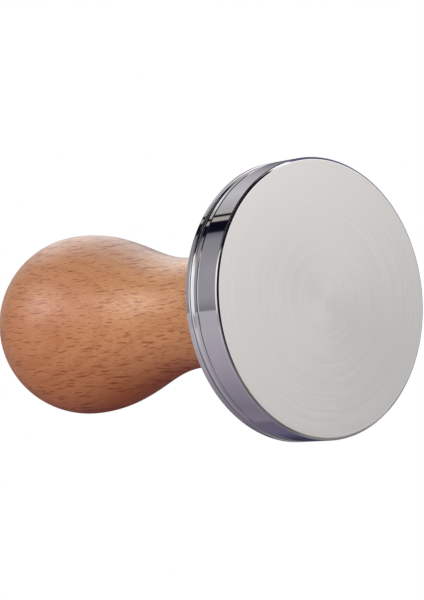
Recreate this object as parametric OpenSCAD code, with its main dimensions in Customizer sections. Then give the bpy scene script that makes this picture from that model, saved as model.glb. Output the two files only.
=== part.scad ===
// Espresso tamper: a turned wooden handle screwed on a steel foot.
// A threaded stud joins them, so that the handle can be unscrewed.
// The origin is the centre of the tamping face, and the handle points up +Z.

/* [Foot] */

// Diameter of the tamping face, which fits inside the filter basket
base_d = 58; // [49:0.5:60]

// Height of the foot's rim
rim_h = 9.6; // [9:0.1:14]

// Width of the rounded bevel around the tamping face
face_edge = 0.65; // [0.2:0.05:1.2]

// Height of the fine turned line around the rim
line_z = 5.9; // [3:0.1:6.2]

// Height of the hollow ring turned into the rim
cove_z = 7.7; // [7.2:0.1:8]

// Width of the hollow ring
cove_w = 1.5; // [0.8:0.1:1.6]

// Depth of the hollow ring
cove_depth = 0.7; // [0.2:0.05:0.75]

/* [Handle] */

// Overall height of the tamper
total_h = 98; // [90:0.5:115]

// Diameter where the handle meets the foot
seat_d = 29; // [26:0.5:32]

// Height of the joint between the foot and the handle
seat_z = 21; // [19:0.5:23]

// Diameter of the handle's neck
neck_d = 23.8; // [20:0.2:25.8]

// Height of the neck
neck_z = 38; // [34:0.5:42]

// Diameter of the knob
knob_d = 40.4; // [36:0.2:46]

// Height of the knob's widest point
knob_z = 77.5; // [70:0.5:80]

/* [Fastening] */

// Length of the threaded stud
stud_l = 30; // [26:1:32]

// Length of the stud that is screwed into the foot
stud_in_foot = 13.5; // [11:0.5:14]

// Across flats of the stud's hexagon socket
socket_af = 4; // [3:0.5:4]

// Thickness of the washer between the foot and the handle
washer_t = 1; // [0.6:0.1:1.5]

// Length of the brass insert in the handle
insert_l = 15; // [12:0.5:16]

/* [Hidden] */

$fn = 96;

base_r = base_d / 2;
seat_r = seat_d / 2;
neck_r = neck_d / 2;
knob_r = knob_d / 2;

// Metric thread, 8 mm by 1.25 mm, right hand
pitch = 1.25;
thread_crest = 3.96;
thread_depth = 0.68;
thread_root = thread_crest - thread_depth;
// Gap between a hole's thread and the stud's, measured along the radius
thread_gap = 0.16;
// Straight sides around one turn of thread
turn_sides = 24;
// Heights within one pitch: bottom and top of the root, then of the crest
thread_steps = [0, 0.31, 0.7, 0.86] / pitch;

stud_z = seat_z - stud_in_foot;
stud_top = stud_z + stud_l;
socket_depth = 4;
// Every thread keeps the same phase, so the stud and its holes are in mesh
thread_z = stud_z + 0.25;
// Least plain length at the end of a screw
plain_end = 0.1;

rim_top_edge = 0.3;
// The way that the bevel around the face looks, in degrees below the horizon
bevel = 60;
// Radius at both ends of that bevel, as a part of its width
edge_round = 0.54;
edge_r = face_edge * edge_round;
edge_top = edge_r + (face_edge - edge_r) * tan(90 - bevel);
line_w = 0.44;
line_depth = 0.2;
// How much the narrow land beyond the line tapers, on the radius
land_taper = 0.03;
seat_chamfer = 0.4;
foot_hole_z = stud_z - 1.3;

washer_r = 10;
washer_bore_r = 4.4;
washer_slack = 0.2;
insert_z = seat_z + washer_t;
insert_top = insert_z + insert_l;
flange_r = 8.5;
flange_h = 1.5;
insert_r = 5.6;
barb_r = 5.98;
barb_count = 6;
bore_r = 6;
flange_slack = 0.05;
pilot_r = 4.3;
pilot_depth = 5;
seat_edge = 0.3;

// Start and end of a barb's slope, as parts of its pitch
barb_lead = 0.25;
barb_tail = 0.85;

// Reach of the handles of the curves, from the foot's flare up to the knob
flare_out = 5;
flare_rise = 0.8;
flare_top = 3.5;
boss_straight = 1;
skirt_in = 0.5;
skirt_rise = 4;
neck_fall = 9;
neck_rise = 16.5;
knob_fall = 14.5;

// Steps along each arc and curve
edge_steps = 6;
cove_steps = 12;
flare_steps = 20;
skirt_steps = 14;
knob_steps = 28;
crown_steps = 24;

// Spare length of a cutter beyond the surface it opens
spare = 1;

steel = [0.74, 0.74, 0.76];
dark_steel = [0.42, 0.43, 0.45];
brass = [0.80, 0.63, 0.30];
fibre = [0.45, 0.16, 0.10];
beech = [0.78, 0.58, 0.42];

// Points along a cubic curve from a to d, with b and c as its handles
function curve(a, b, c, d, steps) = [
    for (i = [0:steps])
        let (t = i / steps, u = 1 - t)
        u^3 * a + 3 * u^2 * t * b + 3 * u * t^2 * c + t^3 * d
];

// Points along an arc about the centre c, from one angle to another
function arc(c, r, from, to, steps) = [
    for (i = [0:steps])
        let (a = from + (to - from) * i / steps)
        c + r * [cos(a), sin(a)]
];

// A hollow cut into the side of a cylinder of radius r, from below to above
function cove(r, z, w, depth) =
    let (
        cove_r = (w * w / 4 + depth * depth) / (2 * depth),
        half = atan2(w / 2, cove_r - depth)
    )
    arc([r - depth + cove_r, z], cove_r, 180 + half, 180 - half, cove_steps);

function tail(points) = [for (i = [1:len(points) - 1]) points[i]];

// A closed solid screw between two heights. Its thread rises out of the
// root a turn from each end
module screw(root, crest, low, high) {
    n = turn_sides;
    z = thread_z + pitch * ceil((low + plain_end - thread_z) / pitch);
    turns = floor((high - plain_end - z) / pitch) - 1;
    last = n * turns;
    rows = last + n + 1;
    ring = rows + 3 * (last + 1);
    fade = function (t) max(0, min(1, 2 * min(t, last - t) / n - 1));
    point = function (t, k)
        let (r = k < 2 ? root : root + (crest - root) * fade(t))
        [r * cos(360 * t / n), r * sin(360 * t / n), z + pitch * (t / n + thread_steps[k])];
    // The start of a turn is the end of the one below it
    at = function (t, k)
        k == 0 ? t : k == 4 ? t + n : rows + 3 * t + k - 1;
    disc = function (h) [for (i = [0:n - 1]) [root * cos(360 * i / n), root * sin(360 * i / n), h]];
    low_at = function (i) ring + i % n;
    high_at = function (i) ring + n + i % n;
    points = concat(
        [for (t = [0:last + n]) point(t, 0)],
        [for (t = [0:last], k = [1:3]) point(t, k)],
        disc(low),
        disc(high),
        [[0, 0, low], [0, 0, high]]
    );
    // A fan of triangles from one corner over a chain of others
    fan = function (c, chain) [for (i = [0:len(chain) - 2]) [c, chain[i], chain[i + 1]]];
    thread = [
        for (t = [0:last - 1], k = [0:3])
            each fan(at(t, k), [at(t, k + 1), at(t + 1, k + 1), at(t + 1, k)])
    ];
    low_wall = [
        for (i = [0:n - 2])
            each fan(low_at(i), [at(i, 0), at(i + 1, 0), low_at(i + 1)])
    ];
    low_step = fan(
        at(n - 1, 0),
        [at(n, 0), for (k = [3:-1:0]) at(0, k), low_at(0), low_at(n - 1)]
    );
    high_wall = [
        for (i = [1:n - 1])
            each fan(at(last + i, 0), [high_at(i), high_at(i + 1), at(last + i + 1, 0)])
    ];
    high_step = fan(
        at(last + 1, 0),
        [for (k = [0:3]) at(last, k), at(last + n, 0), high_at(0), high_at(1)]
    );
    ends = [
        for (i = [0:n - 1])
            each [
                [ring + 2 * n, low_at(i), low_at(i + 1)],
                [ring + 2 * n + 1, high_at(i + 1), high_at(i)]
            ]
    ];
    polyhedron(points, concat(thread, low_wall, low_step, high_wall, high_step, ends), convexity = 10);
}

// The cutter for a tapped hole, in full thread from one height to the other
module tapped_hole(low, high) {
    over = 3 * pitch + plain_end;
    screw(thread_root + thread_gap, thread_crest + thread_gap, low - over, high + over);
}

module base() {
    outline = concat(
        [[0, 0]],
        arc([base_r - face_edge, edge_r], edge_r, -90, -bevel, edge_steps / 2),
        arc([base_r - edge_r, edge_top], edge_r, -bevel, 0, edge_steps / 2),
        [
            [base_r, line_z - line_w / 2],
            [base_r - line_depth, line_z],
            [base_r, line_z + line_w / 2],
            [base_r - land_taper, cove_z - cove_w / 2]
        ],
        tail(cove(base_r, cove_z, cove_w, cove_depth)),
        arc([base_r - rim_top_edge, rim_h - rim_top_edge], rim_top_edge, 0, 90, edge_steps),
        tail(curve(
            [base_r - rim_top_edge, rim_h],
            [seat_r + flare_out, rim_h + flare_rise],
            [seat_r, rim_h + flare_top],
            [seat_r, seat_z - boss_straight],
            flare_steps
        )),
        [[seat_r, seat_z - seat_chamfer], [seat_r - seat_chamfer, seat_z], [0, seat_z]]
    );
    color(steel)
    difference() {
        rotate_extrude()
            polygon(outline);
        intersection() {
            tapped_hole(stud_z, seat_z);
            translate([0, 0, foot_hole_z])
                cylinder(r = pilot_r, h = seat_z - foot_hole_z + spare);
        }
    }
}

module stud() {
    color(dark_steel)
    difference() {
        screw(thread_root, thread_crest, stud_z, stud_top);
        translate([0, 0, stud_top - socket_depth])
            cylinder(d = socket_af / cos(30), h = socket_depth + spare, $fn = 6);
    }
}

module washer() {
    color(fibre)
    translate([0, 0, seat_z])
    difference() {
        cylinder(r = washer_r, h = washer_t);
        translate([0, 0, -spare])
            cylinder(r = washer_bore_r, h = washer_t + 2 * spare);
    }
}

module threaded_insert() {
    barb_p = (insert_l - flange_h) / barb_count;
    barbs = [
        for (i = [0:barb_count - 1])
            let (z = insert_z + flange_h + i * barb_p)
            each [[insert_r, z], [barb_r, z + barb_p * barb_lead], [insert_r, z + barb_p * barb_tail]]
    ];
    color(brass)
    difference() {
        rotate_extrude()
            polygon(concat(
                [[0, insert_z], [flange_r, insert_z], [flange_r, insert_z + flange_h]],
                barbs,
                [[insert_r, insert_top], [0, insert_top]]
            ));
        tapped_hole(insert_z, insert_top);
    }
}

module handle() {
    outline = concat(
        [[0, seat_z]],
        arc([seat_r - seat_edge, seat_z + seat_edge], seat_edge, -90, 0, edge_steps),
        tail(curve(
            [seat_r, seat_z + seat_edge],
            [seat_r - skirt_in, seat_z + skirt_rise],
            [neck_r, neck_z - neck_fall],
            [neck_r, neck_z],
            skirt_steps
        )),
        tail(curve(
            [neck_r, neck_z],
            [neck_r, neck_z + neck_rise],
            [knob_r, knob_z - knob_fall],
            [knob_r, knob_z],
            knob_steps
        )),
        [
            for (i = [1:crown_steps])
                let (a = 90 * i / crown_steps)
                [i == crown_steps ? 0 : knob_r * cos(a), knob_z + (total_h - knob_z) * sin(a)]
        ]
    );
    color(beech)
    difference() {
        rotate_extrude()
            polygon(outline);
        translate([0, 0, seat_z - spare])
            cylinder(r = washer_r + washer_slack, h = washer_t + spare);
        translate([0, 0, insert_z - spare / 2])
            cylinder(r = flange_r + flange_slack, h = flange_h + spare / 2);
        translate([0, 0, insert_z])
            cylinder(r = bore_r, h = insert_l);
        translate([0, 0, insert_z])
            cylinder(r = pilot_r, h = insert_l + pilot_depth);
    }
}

base();
stud();
washer();
threaded_insert();
handle();
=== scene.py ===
import math

import bmesh
import bpy
from mathutils import Matrix, Vector


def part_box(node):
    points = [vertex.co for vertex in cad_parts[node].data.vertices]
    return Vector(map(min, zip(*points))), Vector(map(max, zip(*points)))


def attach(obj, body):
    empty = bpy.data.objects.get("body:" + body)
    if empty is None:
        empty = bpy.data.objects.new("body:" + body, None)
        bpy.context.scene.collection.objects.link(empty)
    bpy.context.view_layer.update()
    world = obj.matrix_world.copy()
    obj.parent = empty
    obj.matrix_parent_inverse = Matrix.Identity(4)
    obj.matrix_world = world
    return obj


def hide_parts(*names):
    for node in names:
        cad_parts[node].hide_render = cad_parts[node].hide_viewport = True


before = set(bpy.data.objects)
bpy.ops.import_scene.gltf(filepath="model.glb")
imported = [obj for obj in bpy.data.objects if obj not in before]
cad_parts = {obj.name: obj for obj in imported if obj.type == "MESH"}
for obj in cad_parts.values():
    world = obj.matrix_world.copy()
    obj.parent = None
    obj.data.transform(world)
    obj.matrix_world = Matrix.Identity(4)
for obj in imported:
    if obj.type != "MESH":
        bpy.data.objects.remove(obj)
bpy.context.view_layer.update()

MM = 0.001
SIDES = 576


# ---------------------------------------------------------------- sizes

foot_low, foot_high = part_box("base")
handle_low, handle_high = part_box("handle")
stud_low, stud_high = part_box("stud")

# The least half-width, so that the turned pieces stay inside the CAD's box
BASE_R = min(foot_high.x, foot_high.y, -foot_low.x, -foot_low.y)
SEAT_Z = foot_high.z
TOTAL_H = handle_high.z
KNOB_R = min(handle_high.x, handle_high.y, -handle_low.x, -handle_low.y)

FACE_EDGE = 0.65 * MM
# The way the bevel round the face looks, in degrees below the horizon
BEVEL = 60
EDGE_R = FACE_EDGE * 0.54
EDGE_TOP = EDGE_R + (FACE_EDGE - EDGE_R) * math.tan(math.radians(90 - BEVEL))
RIM_H = 9.6 * MM
RIM_TOP_EDGE = 0.3 * MM
LINE_Z = 5.9 * MM
LINE_W = 0.44 * MM
LINE_DEPTH = 0.2 * MM
LINE_FLOOR = 0.2 * MM
LAND_TAPER = 0.03 * MM
COVE_Z = 7.7 * MM
COVE_W = 1.5 * MM
COVE_DEPTH = 0.7 * MM
SEAT_R = 14.5 * MM
SEAT_CHAMFER = 0.4 * MM
SEAT_EDGE = 0.3 * MM
HOLE_R = 4.12 * MM
HOLE_Z = stud_low.z - 1.3 * MM

NECK_R = 11.9 * MM
NECK_Z = 38 * MM
KNOB_Z = 77.5 * MM
WASHER_RECESS_R = 10.2 * MM
INSERT_Z = 22 * MM
INSERT_TOP = 37 * MM
FLANGE_R = 8.55 * MM
FLANGE_TOP = 23.5 * MM
BORE_R = 6 * MM
PILOT_R = 4.3 * MM
PILOT_TOP = 42 * MM

# Reach of the handles of the curves, from the foot's flare up to the knob
FLARE_OUT = 5 * MM
FLARE_RISE = 0.8 * MM
FLARE_TOP = 3.5 * MM
BOSS_STRAIGHT = 1 * MM
SKIRT_IN = 0.5 * MM
SKIRT_RISE = 4 * MM
NECK_FALL = 9 * MM
NECK_RISE = 16.5 * MM
KNOB_FALL = 14.5 * MM

PITCH = 1.25 * MM
THREAD_ROOT = 3.28 * MM
THREAD_CREST = 3.96 * MM
THREAD_Z = stud_low.z + 0.25 * MM
# Heights within one pitch, in millimetres, where the flank and the crest begin
# and end, and how far out each lies between root and crest
THREAD_STEPS = [(0.31, 0), (0.7, 1), (0.86, 1)]
SOCKET_AF = 4 * MM
SOCKET_DEPTH = 4 * MM


# ---------------------------------------------------------------- outlines

def curve(a, b, c, d, steps):
    """Points along a cubic curve from a to d, with b and c as its handles."""
    points = []
    for i in range(steps + 1):
        t = i / steps
        u = 1 - t
        points.append(tuple(
            u**3 * a[k] + 3 * u * u * t * b[k] + 3 * u * t * t * c[k] + t**3 * d[k]
            for k in (0, 1)
        ))
    return points


def arc(cx, cz, r, start, end, steps):
    """Points along an arc about (cx, cz), with its angles in degrees."""
    angles = [math.radians(start + (end - start) * i / steps) for i in range(steps + 1)]
    return [(cx + r * math.cos(a), cz + r * math.sin(a)) for a in angles]


def cove(r, z, w, depth, steps):
    """A hollow in the side of a cylinder of radius r."""
    cove_r = (w * w / 4 + depth * depth) / (2 * depth)
    half = math.degrees(math.atan2(w / 2, cove_r - depth))
    return arc(r - depth + cove_r, z, cove_r, 180 + half, 180 - half, steps)


def held(points, gap=0.04 * MM):
    """Adds a point just inside each end of a long straight stretch, so that the
    shading there stays true up to its edges."""
    out = [points[0]]
    for a, b in zip(points, points[1:]):
        length = math.dist(a, b)
        if length > 8 * gap:
            for t in (gap / length, 1 - gap / length):
                out.append((a[0] + (b[0] - a[0]) * t, a[1] + (b[1] - a[1]) * t))
        out.append(b)
    return out


# ---------------------------------------------------------------- meshes

def finish_mesh(name, bm, sharp_degrees=32):
    """Makes an object of a bmesh, smooth but for its sharp edges."""
    bmesh.ops.recalc_face_normals(bm, faces=bm.faces)
    mesh = bpy.data.meshes.new(name)
    bm.to_mesh(mesh)
    bm.free()
    mesh.shade_smooth()
    mesh.set_sharp_from_angle(angle=math.radians(sharp_degrees))
    obj = bpy.data.objects.new(name, mesh)
    bpy.context.scene.collection.objects.link(obj)
    return obj


def lathe(name, outline, sides=SIDES):
    """Turns an outline of (radius, height) points about the Z axis."""
    bm = bmesh.new()
    rings = []
    for r, z in outline:
        if r < 1e-6:
            rings.append([bm.verts.new((0, 0, z))] * sides)
            continue
        angles = [2 * math.pi * i / sides for i in range(sides)]
        rings.append([bm.verts.new((r * math.cos(a), r * math.sin(a), z)) for a in angles])
    for low, high in zip(rings, rings[1:]):
        for i in range(sides):
            j = (i + 1) % sides
            corners = [low[i], low[j], high[j], high[i]]
            unique = list(dict.fromkeys(corners))
            if len(unique) > 2:
                bm.faces.new(unique)
    return finish_mesh(name, bm)


def foot():
    rim_top = BASE_R - RIM_TOP_EDGE
    outline = [(0, 0), (BASE_R * 0.5, 0)]
    outline += arc(BASE_R - FACE_EDGE, EDGE_R, EDGE_R, -90, -BEVEL, 8)
    outline += arc(BASE_R - EDGE_R, EDGE_TOP, EDGE_R, -BEVEL, 0, 12)
    outline += [
        (BASE_R, LINE_Z - LINE_W / 2),
        (BASE_R - LINE_DEPTH, LINE_Z - LINE_FLOOR / 2),
        (BASE_R - LINE_DEPTH, LINE_Z + LINE_FLOOR / 2),
        (BASE_R, LINE_Z + LINE_W / 2),
        (BASE_R - LAND_TAPER, COVE_Z - COVE_W / 2),
    ]
    outline += cove(BASE_R, COVE_Z, COVE_W, COVE_DEPTH, 48)[1:]
    outline += arc(rim_top, RIM_H - RIM_TOP_EDGE, RIM_TOP_EDGE, 0, 90, 12)
    outline += curve(
        (rim_top, RIM_H),
        (SEAT_R + FLARE_OUT, RIM_H + FLARE_RISE),
        (SEAT_R, RIM_H + FLARE_TOP),
        (SEAT_R, SEAT_Z - BOSS_STRAIGHT),
        48,
    )[1:]
    outline += [
        (SEAT_R, SEAT_Z - SEAT_CHAMFER),
        (SEAT_R - SEAT_CHAMFER, SEAT_Z),
        (HOLE_R, SEAT_Z),
        (HOLE_R, HOLE_Z),
        (0, HOLE_Z),
    ]
    return lathe("foot", held(outline))


def knob():
    crown = [
        (KNOB_R * math.cos(a), KNOB_Z + (TOTAL_H - KNOB_Z) * math.sin(a))
        for a in (math.pi / 2 * i / 48 for i in range(1, 48))
    ]
    outline = [
        (0, PILOT_TOP),
        (PILOT_R, PILOT_TOP),
        (PILOT_R, INSERT_TOP),
        (BORE_R, INSERT_TOP),
        (BORE_R, FLANGE_TOP),
        (FLANGE_R, FLANGE_TOP),
        (FLANGE_R, INSERT_Z),
        (WASHER_RECESS_R, INSERT_Z),
        (WASHER_RECESS_R, SEAT_Z),
    ]
    outline += arc(SEAT_R - SEAT_EDGE, SEAT_Z + SEAT_EDGE, SEAT_EDGE, -90, 0, 8)
    outline += curve(
        (SEAT_R, SEAT_Z + SEAT_EDGE),
        (SEAT_R - SKIRT_IN, SEAT_Z + SKIRT_RISE),
        (NECK_R, NECK_Z - NECK_FALL),
        (NECK_R, NECK_Z),
        32,
    )[1:]
    outline += curve(
        (NECK_R, NECK_Z),
        (NECK_R, NECK_Z + NECK_RISE),
        (KNOB_R, KNOB_Z - KNOB_FALL),
        (KNOB_R, KNOB_Z),
        64,
    )[1:]
    outline += crown + [(0, TOTAL_H)]
    return lathe("knob", held(outline))


def threaded_stud(sides=96):
    """A rod with a right-hand thread, plain ends and a hexagon socket."""
    turns = int((stud_high.z - THREAD_Z) / PITCH) - 1
    last = sides * turns
    bm = bmesh.new()

    def vertex(t, lift, out):
        fade = max(0, min(1, 2 * min(t, last - t) / sides - 1))
        r = THREAD_ROOT + (THREAD_CREST - THREAD_ROOT) * fade * out
        a = 2 * math.pi * t / sides
        z = THREAD_Z + PITCH * t / sides + lift * MM
        return bm.verts.new((r * math.cos(a), r * math.sin(a), z))

    start = [vertex(t, 0, 0) for t in range(last + sides + 1)]
    rows = [[vertex(t, *step) for step in THREAD_STEPS] for t in range(last + 1)]
    column = [[start[t], *rows[t], start[t + sides]] for t in range(last + 1)]
    for low, high in zip(column, column[1:]):
        for k in range(4):
            bm.faces.new((low[k], high[k], high[k + 1], low[k + 1]))

    def ring(z, r=THREAD_ROOT):
        angles = [2 * math.pi * i / sides for i in range(sides)]
        return [bm.verts.new((r * math.cos(a), r * math.sin(a), z)) for a in angles]

    bottom = ring(stud_low.z)
    top = ring(stud_high.z)
    for i in range(sides - 1):
        bm.faces.new((bottom[i], bottom[i + 1], start[i + 1], start[i]))
        bm.faces.new((start[last + i + 1], start[last + i + 2], top[(i + 2) % sides], top[i + 1]))
    bm.faces.new([bottom[-1], bottom[0], *column[0], start[sides - 1]])
    bm.faces.new([top[1], top[0], *reversed(column[last]), start[last + 1]])
    bm.faces.new(list(reversed(bottom)))

    corners = [2 * math.pi * i / 6 for i in range(6)]
    reach = SOCKET_AF / 2 / math.cos(math.pi / 6)
    hexagon = [
        [bm.verts.new((reach * math.cos(a), reach * math.sin(a), z)) for a in corners]
        for z in (stud_high.z, stud_high.z - SOCKET_DEPTH)
    ]
    per_side = sides // 6
    for i in range(6):
        j = (i + 1) % 6
        bm.faces.new((hexagon[0][j], hexagon[0][i], hexagon[1][i], hexagon[1][j]))
        edge = [top[(i * per_side + k) % sides] for k in range(per_side + 1)]
        bm.faces.new([hexagon[0][i], *edge, hexagon[0][j]])
    bm.faces.new(hexagon[1])
    return finish_mesh("threaded_rod", bm, 25)


# ---------------------------------------------------------------- materials

class Graph:
    """A node tree built with short calls. A value may be a number or a socket."""

    def __init__(self, tree):
        self.tree = tree
        tree.nodes.clear()

    def add(self, kind, inputs=None, **settings):
        node = self.tree.nodes.new(kind)
        for key, value in settings.items():
            setattr(node, key, value)
        for key, value in (inputs or {}).items():
            if isinstance(value, bpy.types.NodeSocket):
                self.tree.links.new(value, node.inputs[key])
            else:
                node.inputs[key].default_value = value
        return node

    def math(self, operation, a, b=0.0, c=0.0, clamp=False):
        values = {0: a, 1: b, 2: c}
        return self.add("ShaderNodeMath", values, operation=operation, use_clamp=clamp).outputs[0]

    def between(self, value, low, high, to_low=0.0, to_high=1.0, smooth=True):
        """Maps a value from one range to another, and clamps it."""
        kind = "SMOOTHSTEP" if smooth else "LINEAR"
        values = {
            "Value": value, "From Min": low, "From Max": high,
            "To Min": to_low, "To Max": to_high,
        }
        return self.add("ShaderNodeMapRange", values, interpolation_type=kind).outputs["Result"]

    def mix(self, factor, a, b, blend="MIX"):
        node = self.add("ShaderNodeMix", data_type="RGBA", blend_type=blend)
        sockets = {"Factor": node.inputs[0], "A": node.inputs[6], "B": node.inputs[7]}
        for key, value in (("Factor", factor), ("A", a), ("B", b)):
            if isinstance(value, bpy.types.NodeSocket):
                self.tree.links.new(value, sockets[key])
            else:
                sockets[key].default_value = value
        return node.outputs[2]

    def ramp(self, value, stops, interpolation="LINEAR"):
        """A colour ramp with stops of (place, grey or colour)."""
        node = self.add("ShaderNodeValToRGB", {"Fac": value})
        ramp = node.color_ramp
        ramp.interpolation = interpolation
        while len(ramp.elements) < len(stops):
            ramp.elements.new(0.5)
        for element, (place, colour) in zip(ramp.elements, stops):
            element.position = place
            element.color = rgba(colour)
        return node.outputs["Color"]

    def noise(self, vector, scale, detail=3.0, roughness=0.5, distortion=0.0):
        values = {
            "Vector": vector, "Scale": scale, "Detail": detail,
            "Roughness": roughness, "Distortion": distortion,
        }
        return self.add("ShaderNodeTexNoise", values).outputs["Fac"]

    def stretch(self, vector, x, y, z, shift=(0.0, 0.0, 0.0)):
        values = {"Vector": vector, "Scale": (x, y, z), "Location": shift}
        return self.add("ShaderNodeMapping", values).outputs["Vector"]

    def bump(self, height, strength, distance, normal=None):
        values = {"Height": height, "Strength": strength, "Distance": distance}
        if normal is not None:
            values["Normal"] = normal
        return self.add("ShaderNodeBump", values).outputs["Normal"]


def rgba(colour):
    if isinstance(colour, (int, float)):
        return (colour, colour, colour, 1.0)
    return (*colour, 1.0)


def material(name):
    """A new material with its graph, its place in millimetres, and its shader."""
    made = bpy.data.materials.new(name)
    made.use_nodes = True
    g = Graph(made.node_tree)
    place = g.add("ShaderNodeTexCoord").outputs["Object"]
    place = g.stretch(place, 1 / MM, 1 / MM, 1 / MM)
    shader = g.add("ShaderNodeBsdfPrincipled")
    out = g.add("ShaderNodeOutputMaterial")
    g.tree.links.new(shader.outputs[0], out.inputs["Surface"])
    return made, g, place, shader


def plug(g, shader, **inputs):
    """Sets or links the shader's inputs."""
    for key, value in inputs.items():
        socket = shader.inputs[key.replace("_", " ")]
        if isinstance(value, bpy.types.NodeSocket):
            g.tree.links.new(value, socket)
        else:
            socket.default_value = value


def turned(g, place):
    """The distance from the axis, the angle and the height, in millimetres, so
    that noise can run round the axis as tool marks do."""
    xyz = g.add("ShaderNodeSeparateXYZ", {"Vector": place}).outputs
    squares = g.math("ADD", g.math("POWER", xyz[0], 2.0), g.math("POWER", xyz[1], 2.0))
    radius = g.math("POWER", squares, 0.5)
    angle = g.math("ARCTAN2", xyz[1], xyz[0])
    return radius, angle, xyz[2]


# Beech rays: how far apart they lie across and along the grain, in
# millimetres, and the shift that parts one layer from the next
RAYS = [(1.0, 11.0, 0.0), (0.8, 8.0, 13.7), (0.65, 5.5, 31.1)]


def beech():
    made, g, place, shader = material("lacquered_beech")
    warp = g.noise(g.stretch(place, 1.0, 1.0, 0.35), 0.12, 2.0)
    sway = g.math("MULTIPLY", g.math("SUBTRACT", warp, 0.5), 3.0)
    push = g.add("ShaderNodeCombineXYZ", {"X": sway}).outputs[0]
    bent = g.add("ShaderNodeVectorMath", {0: place, 1: push}).outputs[0]

    # Year rings about a pith that lies well outside the blank
    xyz = g.add("ShaderNodeSeparateXYZ", {"Vector": bent}).outputs
    from_pith = g.math("ADD", xyz[1], 70.0)
    squares = g.math("ADD", g.math("POWER", xyz[0], 2.0), g.math("POWER", from_pith, 2.0))
    reach = g.math("SQRT", squares)
    ring_noise = g.noise(g.stretch(place, 0.5, 0.5, 0.06), 0.25, 3.0)
    ring_at = g.math("ADD", g.math("MULTIPLY", reach, 0.33), g.math("MULTIPLY", ring_noise, 1.6))
    ring = g.math("FRACT", ring_at)
    late = g.between(ring, 0.55, 0.98)

    # Rays: thin plates along the radius, seen as short dark dashes
    shaky = g.noise(g.stretch(place, 1.0, 1.0, 0.4), 0.45, 2.0)
    wobble = g.math("MULTIPLY", g.math("SUBTRACT", shaky, 0.5), 1.0)
    drift = g.noise(g.stretch(place, 0.4, 0.3, 0.3), 0.1, 1.0)
    x, _, z = g.add("ShaderNodeSeparateXYZ", {"Vector": place}).outputs
    across = g.math("ADD", x, wobble)
    along = g.math("MULTIPLY_ADD", drift, 8.0, z)
    crowd = g.noise(g.stretch(place, 0.5, 0.2, 0.15), 0.3, 2.0)
    size = g.between(crowd, 0.3, 0.7, 0.8, 1.15)
    rays = None
    for thick, long, shift in RAYS:
        flat = g.add("ShaderNodeCombineXYZ", {
            "X": g.math("MULTIPLY_ADD", across, 1 / thick, shift),
            "Y": g.math("MULTIPLY_ADD", along, 1 / long, shift),
        }).outputs[0]
        values = {"Vector": flat, "Scale": 1.0}
        cell = g.add("ShaderNodeTexVoronoi", values, voronoi_dimensions="2D").outputs
        chance = g.add("ShaderNodeSeparateColor", {"Color": cell["Color"]}).outputs[0]
        reach = g.math("MULTIPLY", size, g.between(chance, 0.1, 1.0, 0.06, 0.25, smooth=False))
        dash = g.between(g.math("DIVIDE", cell["Distance"], reach), 0.25, 1.0, 1.0, 0.0)
        rays = dash if rays is None else g.math("MAXIMUM", rays, dash)

    # Fine pores, the slow change of colour from place to place, and painted light on the neck
    pores = g.noise(g.stretch(place, 1.0, 1.0, 0.08), 3.2, 4.0, 0.65)
    fine = g.between(pores, 0.35, 0.7)
    cloud = g.noise(g.stretch(place, 1.0, 1.0, 0.3), 0.07, 2.0)

    ground = g.mix(g.between(cloud, 0.35, 0.65), (0.59, 0.285, 0.145, 1), (0.54, 0.235, 0.112, 1))
    # Painted light: below 66 mm the wood is painted lighter, most of all below 44 mm, to brighten
    # the neck
    ground = g.mix(g.between(z, 66.0, 44.0), ground, (0.63, 0.33, 0.165, 1))
    ground = g.mix(g.math("MULTIPLY", late, 0.3), ground, (0.4, 0.16, 0.065, 1))
    ground = g.mix(g.math("MULTIPLY", fine, 0.45), ground, (0.36, 0.15, 0.06, 1))
    colour = g.mix(g.math("MULTIPLY", rays, 0.8), ground, (0.28, 0.07, 0.02, 1))

    roughness = g.between(pores, 0.3, 0.7, 0.36, 0.46)
    height = g.math("ADD", g.math("MULTIPLY", rays, -0.5), g.math("MULTIPLY", fine, -0.25))
    normal = g.bump(height, 0.25, 0.05 * MM)
    plug(g, shader, Base_Color=colour, Roughness=roughness, Normal=normal)
    plug(g, shader, IOR=1.36)
    return made


def polished_steel():
    made, g, place, shader = material("polished_steel")
    radius, angle, height = turned(g, place)
    around = g.math("MULTIPLY", angle, 1.5)
    round_way = g.add("ShaderNodeCombineXYZ", {"X": radius, "Y": around, "Z": height}).outputs[0]
    marks = g.noise(g.stretch(round_way, 9.0, 0.5, 9.0), 1.0, 3.0, 0.6)
    smears = g.noise(place, 0.12, 3.0)
    colour = g.mix(g.between(smears, 0.35, 0.65), (0.91, 0.905, 0.91, 1), (0.87, 0.865, 0.875, 1))
    scratched = g.between(marks, 0.3, 0.75, 0.01, 0.03)
    roughness = g.math("ADD", scratched, g.between(smears, 0.4, 0.7, 0.0, 0.02))
    plug(g, shader, Base_Color=colour, Metallic=1.0, Roughness=roughness)
    plug(g, shader, Normal=g.bump(marks, 0.05, 0.004 * MM))
    return made


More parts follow.
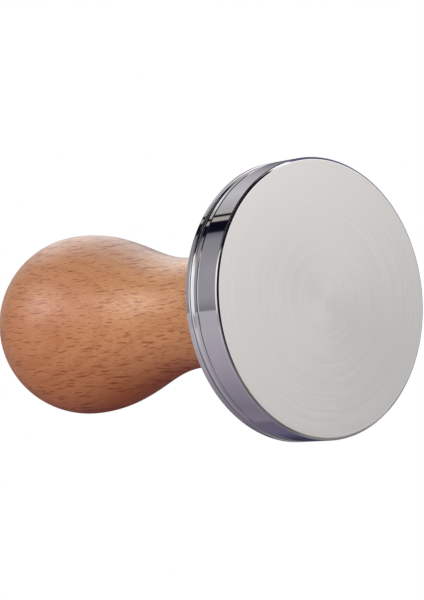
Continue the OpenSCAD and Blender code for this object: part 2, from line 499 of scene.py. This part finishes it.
def satin_face():
    made, g, place, shader = material("turned_face")
    radius, angle, _ = turned(g, place)
    around = g.math("MULTIPLY", angle, 0.8)
    round_way = g.add("ShaderNodeCombineXYZ", {"X": radius, "Y": around, "Z": 0.0}).outputs[0]
    rings = g.noise(g.stretch(round_way, 3.2, 0.6, 1.0), 1.0, 4.0, 0.7)
    broad = g.noise(g.stretch(round_way, 0.28, 0.25, 1.0), 1.0, 2.0)
    grain = g.noise(place, 2.2, 2.0, 0.6)
    tone = g.math("ADD", g.math("MULTIPLY", rings, 0.6), g.math("MULTIPLY", grain, 0.4))
    colour = g.mix(g.between(tone, 0.35, 0.65), (0.88, 0.867, 0.857, 1), (0.905, 0.894, 0.884, 1))
    colour = g.mix(g.between(broad, 0.3, 0.7, 0.0, 0.25), colour, (0.93, 0.92, 0.91, 1))
    roughness = g.between(rings, 0.3, 0.7, 0.18, 0.23)
    plug(g, shader, Base_Color=colour, Metallic=1.0, Roughness=roughness, Anisotropic=0.4)
    tangent = g.add("ShaderNodeTangent", direction_type="RADIAL", axis="Z").outputs[0]
    plug(g, shader, Tangent=tangent, Normal=g.bump(rings, 0.06, 0.01 * MM))
    return made


def plain_steel():
    made, g, place, shader = material("blackened_steel")
    patch = g.noise(place, 0.9, 3.0)
    fine = g.noise(place, 6.0, 3.0)
    colour = g.mix(g.between(patch, 0.35, 0.65), (0.3, 0.305, 0.32, 1), (0.4, 0.4, 0.41, 1))
    plug(g, shader, Base_Color=colour, Metallic=1.0, Roughness=g.between(fine, 0.3, 0.7, 0.28, 0.42))
    plug(g, shader, Normal=g.bump(fine, 0.15, 0.02 * MM))
    return made


def turned_brass():
    made, g, place, shader = material("turned_brass")
    radius, angle, height = turned(g, place)
    round_way = g.add("ShaderNodeCombineXYZ", {"X": radius, "Y": angle, "Z": height}).outputs[0]
    marks = g.noise(round_way, 5.0, 3.0)
    tarnish = g.noise(place, 0.35, 3.0)
    colour = g.mix(g.between(tarnish, 0.4, 0.7), (0.78, 0.56, 0.24, 1), (0.6, 0.4, 0.16, 1))
    plug(g, shader, Base_Color=colour, Metallic=1.0, Roughness=g.between(marks, 0.3, 0.7, 0.2, 0.34))
    plug(g, shader, Normal=g.bump(marks, 0.15, 0.02 * MM))
    return made


def pressed_fibre():
    made, g, place, shader = material("pressed_fibre")
    flecks = g.noise(g.stretch(place, 1.0, 1.0, 2.5), 3.0, 4.0, 0.7)
    colour = g.mix(g.between(flecks, 0.35, 0.65), (0.24, 0.055, 0.03, 1), (0.34, 0.1, 0.05, 1))
    plug(g, shader, Base_Color=colour, Roughness=g.between(flecks, 0.3, 0.7, 0.65, 0.85))
    plug(g, shader, Normal=g.bump(flecks, 0.35, 0.05 * MM))
    return made


def studio_floor():
    """A pale matt floor that shows from above only, so that the tamping face
    can be seen from below."""
    made = bpy.data.materials.new("pale_floor")
    made.use_nodes = True
    g = Graph(made.node_tree)
    matt = g.add("ShaderNodeBsdfDiffuse", {"Color": (0.62, 0.61, 0.6, 1)}).outputs[0]
    glow = g.add("ShaderNodeEmission", {"Color": (1.0, 0.99, 0.98, 1), "Strength": 0.42}).outputs[0]
    lit = g.add("ShaderNodeAddShader", {0: matt, 1: glow}).outputs[0]
    clear = g.add("ShaderNodeBsdfTransparent").outputs[0]
    under = g.add("ShaderNodeNewGeometry").outputs["Backfacing"]
    both = g.add("ShaderNodeMixShader", {0: under, 1: lit, 2: clear}).outputs[0]
    out = g.add("ShaderNodeOutputMaterial")
    g.tree.links.new(both, out.inputs["Surface"])
    return made


# ---------------------------------------------------------------- studio

def floor():
    half = 3.0
    bm = bmesh.new()
    low = foot_low.z - 0.2 * MM
    corners = [(-half, -half), (half, -half), (half, half), (-half, half)]
    bm.faces.new([bm.verts.new((x, y, low)) for x, y in corners])
    obj = finish_mesh("floor", bm)
    obj.data.materials.append(studio_floor())
    obj.visible_diffuse = False
    obj.visible_glossy = False
    obj.visible_transmission = False
    obj.visible_shadow = False
    return obj


def at(degrees):
    """The place on a colour ramp of an azimuth, where 0 is +X and 90 is +Y."""
    return (degrees % 360) / 360


# What the polished steel reflects, as grey or colour by azimuth: a ring of
# panels high round the object, and a ring of lights and gaps level with it
HIGH_RING = [
    (0.0, (0.44, 0.42, 0.43)),
    (at(18), (0.57, 0.56, 0.58)),
    (at(42), (0.46, 0.43, 0.47)),
    (at(66), (0.22, 0.22, 0.25)),
    (at(100), (0.06, 0.065, 0.1)),
    (at(120), (0.035, 0.035, 0.07)),
    (at(140), (0.12, 0.11, 0.19)),
    (at(158), (0.14, 0.12, 0.17)),
    (at(163), (0.22, 0.18, 0.24)),
    (at(180), (0.2, 0.175, 0.23)),
    (at(205), (0.27, 0.24, 0.3)),
    (at(230), (0.37, 0.33, 0.39)),
    (at(255), (0.43, 0.4, 0.45)),
    (at(271), (0.43, 0.42, 0.47)),
    (at(271.4), (0.21, 0.2, 0.23)),
    (at(282), (0.32, 0.31, 0.34)),
    (at(305), (0.32, 0.31, 0.34)),
    (at(330), (0.25, 0.24, 0.27)),
    (at(337), (0.13, 0.13, 0.16)),
    (at(337.6), (0.004, 0.004, 0.012)),
    (at(348), (0.004, 0.004, 0.008)),
    (at(348.6), (0.42, 0.38, 0.36)),
    (at(352.3), (0.42, 0.38, 0.36)),
    (at(352.8), (0.005, 0.005, 0.01)),
    (at(354.4), (0.005, 0.005, 0.01)),
    (at(354.8), (0.44, 0.42, 0.42)),
]
LEVEL_RING = [
    (0.0, (0.012, 0.012, 0.016)),
    (at(14), (0.04, 0.045, 0.07)),
    (at(40), (0.1, 0.115, 0.18)),
    (at(100), (0.12, 0.14, 0.22)),
    (at(136), (0.04, 0.05, 0.1)),
    (at(152), (0.11, 0.1, 0.15)),
    (at(180), (0.2, 0.18, 0.23)),
    (at(205), (0.3, 0.27, 0.33)),
    (at(235), (0.42, 0.4, 0.46)),
    (at(258), (0.56, 0.55, 0.6)),
    (at(261), (0.34, 0.34, 0.38)),
    (at(267), (0.34, 0.34, 0.38)),
    (at(272), (0.88, 0.87, 0.88)),
    (at(300), (0.88, 0.87, 0.88)),
    (at(312), (0.2, 0.19, 0.2)),
    (at(324), (0.04, 0.04, 0.05)),
    (at(338), (0.012, 0.012, 0.016)),
]


# The dark floor, from -X to +X
GAP = [
    (0.0, (0.15, 0.14, 0.17)),
    (0.35, (0.07, 0.065, 0.08)),
    (0.6, (0.014, 0.014, 0.018)),
    (1.0, (0.012, 0.012, 0.016)),
]


def studio_world():
    """White behind the object. The steel reflects two rings of panels and a
    bright sweep below. Matt surfaces get an even light, dimmer and warmer on
    the -X side."""
    world = bpy.data.worlds.new("studio")
    bpy.context.scene.world = world
    world.use_nodes = True
    g = Graph(world.node_tree)
    way = g.add("ShaderNodeTexCoord").outputs["Generated"]
    x, y, z = g.add("ShaderNodeSeparateXYZ", {"Vector": way}).outputs
    turn = g.math("FRACT", g.math("DIVIDE", g.math("ARCTAN2", y, x), 2 * math.pi))

    high = g.ramp(turn, HIGH_RING)
    level = g.ramp(turn, LEVEL_RING)
    above = g.mix(g.between(z, 0.66, 0.7), level, high)
    corner = g.math("MULTIPLY", g.between(x, 0.0, 0.2), g.between(y, 0.0, 0.1))
    window = g.math("MULTIPLY", corner, g.between(z, 0.762, 0.776))
    above = g.mix(g.between(z, 0.9, 0.94), above, (0.4, 0.39, 0.42, 1))
    above = g.mix(window, above, (0.76, 0.82, 0.88, 1))

    # A bright sweep lies below on the +Y side. It is palest straight below and
    # towards +X, and fades towards -X
    slope = g.math("MULTIPLY_ADD", z, -4.7, -2.85)
    sweep = g.math("MULTIPLY_ADD", x, 4.1, slope)
    sweep = g.math("MINIMUM", g.math("MAXIMUM", sweep, 0.5), 1.1)
    sweep = g.math("MAXIMUM", sweep, g.between(z, -0.6, -0.5, 0.5, 0.95))
    sweep = g.math("MULTIPLY", sweep, g.between(x, -0.6, -0.1, 0.25, 1.0))
    tint = {0: (1.0, 0.98, 0.97), "Scale": sweep}
    below = g.add("ShaderNodeVectorMath", tint, operation="SCALE").outputs[0]
    # Its top edge is lower towards +X
    top = g.between(x, 0.35, 0.7, 0.0, -0.42)
    edge = g.math("MINIMUM", g.math("MULTIPLY_ADD", y, 1.2, -0.75), top)
    under_edge = g.between(g.math("SUBTRACT", edge, z), -0.02, 0.03)
    mirrored = g.mix(g.math("MULTIPLY", under_edge, g.between(y, 0.16, 0.24)), above, below)

    # In front of the sweep the floor is lit too, but for a dark strip, which
    # reaches higher towards +X
    low = g.between(z, -0.53, -0.5, 1.0, 0.0)
    near = g.between(y, 0.0, 0.1, 1.0, 0.0)
    mirrored = g.mix(g.math("MULTIPLY", low, near), mirrored, below)
    ceiling = g.between(x, 0.4, 0.64, -0.87, -0.53)
    strip = g.between(g.math("SUBTRACT", z, ceiling), -0.03, 0.01, 1.0, 0.0)
    inside = g.between(g.math("MULTIPLY_ADD", x, -0.5, y), 0.3, 0.42, 1.0, 0.0)
    dark = g.math("MULTIPLY", low, g.math("MULTIPLY", strip, inside))
    mirrored = g.mix(dark, mirrored, g.ramp(g.between(x, -0.7, 0.5, smooth=False), GAP))

    side = g.between(x, -0.9, 0.7)
    even = g.mix(side, (0.26, 0.07, 0.04, 1), (0.36, 0.33, 0.3, 1))

    rays = g.add("ShaderNodeLightPath").outputs
    colour = g.mix(rays["Is Diffuse Ray"], mirrored, even)
    colour = g.mix(rays["Is Camera Ray"], colour, (1, 1, 1, 1))
    back = g.add("ShaderNodeBackground", {"Color": colour, "Strength": 1.0}).outputs[0]
    out = g.add("ShaderNodeOutputWorld")
    g.tree.links.new(back, out.inputs["Surface"])


def direction(azimuth, elevation):
    """Azimuth 0 is +X and 90 is +Y; elevation is above the horizon."""
    a, e = math.radians(azimuth), math.radians(elevation)
    return Vector((math.cos(a) * math.cos(e), math.sin(a) * math.cos(e), math.sin(e)))


# Where the lights aim, and how far off they stand
LIGHT_AIM = Vector((0, 0, 50 * MM))
LIGHT_AWAY = 0.7


def softbox(name, azimuth, elevation, wide, high, watts, colour=(1, 1, 1), gloss_on=None):
    """An area light aimed at the handle. It lights matt surfaces, or when a piece
    is given, only that piece's gloss."""
    light = bpy.data.lights.new(name, "AREA")
    light.shape = "RECTANGLE"
    light.size, light.size_y = wide, high
    light.energy = watts
    light.color = colour
    obj = bpy.data.objects.new(name, light)
    bpy.context.scene.collection.objects.link(obj)
    way = direction(azimuth, elevation)
    obj.location = LIGHT_AIM + way * LIGHT_AWAY
    obj.rotation_euler = (-way).to_track_quat("-Z", "Y").to_euler()
    obj.visible_camera = False
    obj.visible_diffuse = gloss_on is None
    obj.visible_glossy = gloss_on is not None
    if gloss_on is not None:
        only = bpy.data.collections.new(name + "_only")
        only.objects.link(gloss_on)
        obj.light_linking.receiver_collection = only
    return obj


def camera():
    """The camera looks up at the tamping face from below and in front, and is
    rolled so that the handle lies to the left."""
    data = bpy.data.cameras.new("camera")
    data.sensor_width = 36
    data.lens = 150
    obj = bpy.data.objects.new("camera", data)
    bpy.context.scene.collection.objects.link(obj)
    aim = Vector((2.3 * MM, 0, 34.5 * MM))
    below = 48.8
    away = 535 * MM
    roll = 96.7
    way = direction(-90, -below)
    obj.location = aim + way * away
    turn = (-way).to_track_quat("-Z", "Y").to_matrix().to_4x4()
    obj.rotation_euler = (turn @ Matrix.Rotation(math.radians(-roll), 4, "Z")).to_euler()
    bpy.context.scene.camera = obj
    return obj


# ---------------------------------------------------------------- assembly

def dress(node, made):
    """Gives a CAD node its material."""
    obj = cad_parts[node]
    obj.data.materials.clear()
    obj.data.materials.append(made)


def build():
    camera()
    floor()
    studio_world()
    softbox("front", -76, -42, 0.35, 0.35, 2.15, (1.0, 0.98, 0.95))
    softbox("side", -74, 14, 0.35, 0.35, 1.7, (1.0, 0.99, 0.97))

    steel = foot()
    steel.data.materials.append(polished_steel())
    steel.data.materials.append(satin_face())
    for polygon in steel.data.polygons:
        if polygon.center.z < 1e-6 and polygon.normal.z < -0.9:
            polygon.material_index = 1
    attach(steel, "foot")
    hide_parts("base")

    wood = knob()
    wood.data.materials.append(beech())
    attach(wood, "handle")
    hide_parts("handle")
    softbox("gleam", 32, 41, 0.6, 0.35, 1.8, gloss_on=wood)
    softbox("spot", -63, 31, 0.35, 0.14, 2.6, gloss_on=wood)

    rod = threaded_stud()
    rod.data.materials.append(plain_steel())
    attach(rod, "foot")
    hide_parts("stud")

    dress("threaded_insert", turned_brass())
    dress("washer", pressed_fibre())

    bpy.context.scene.view_settings.view_transform = "Standard"


build()
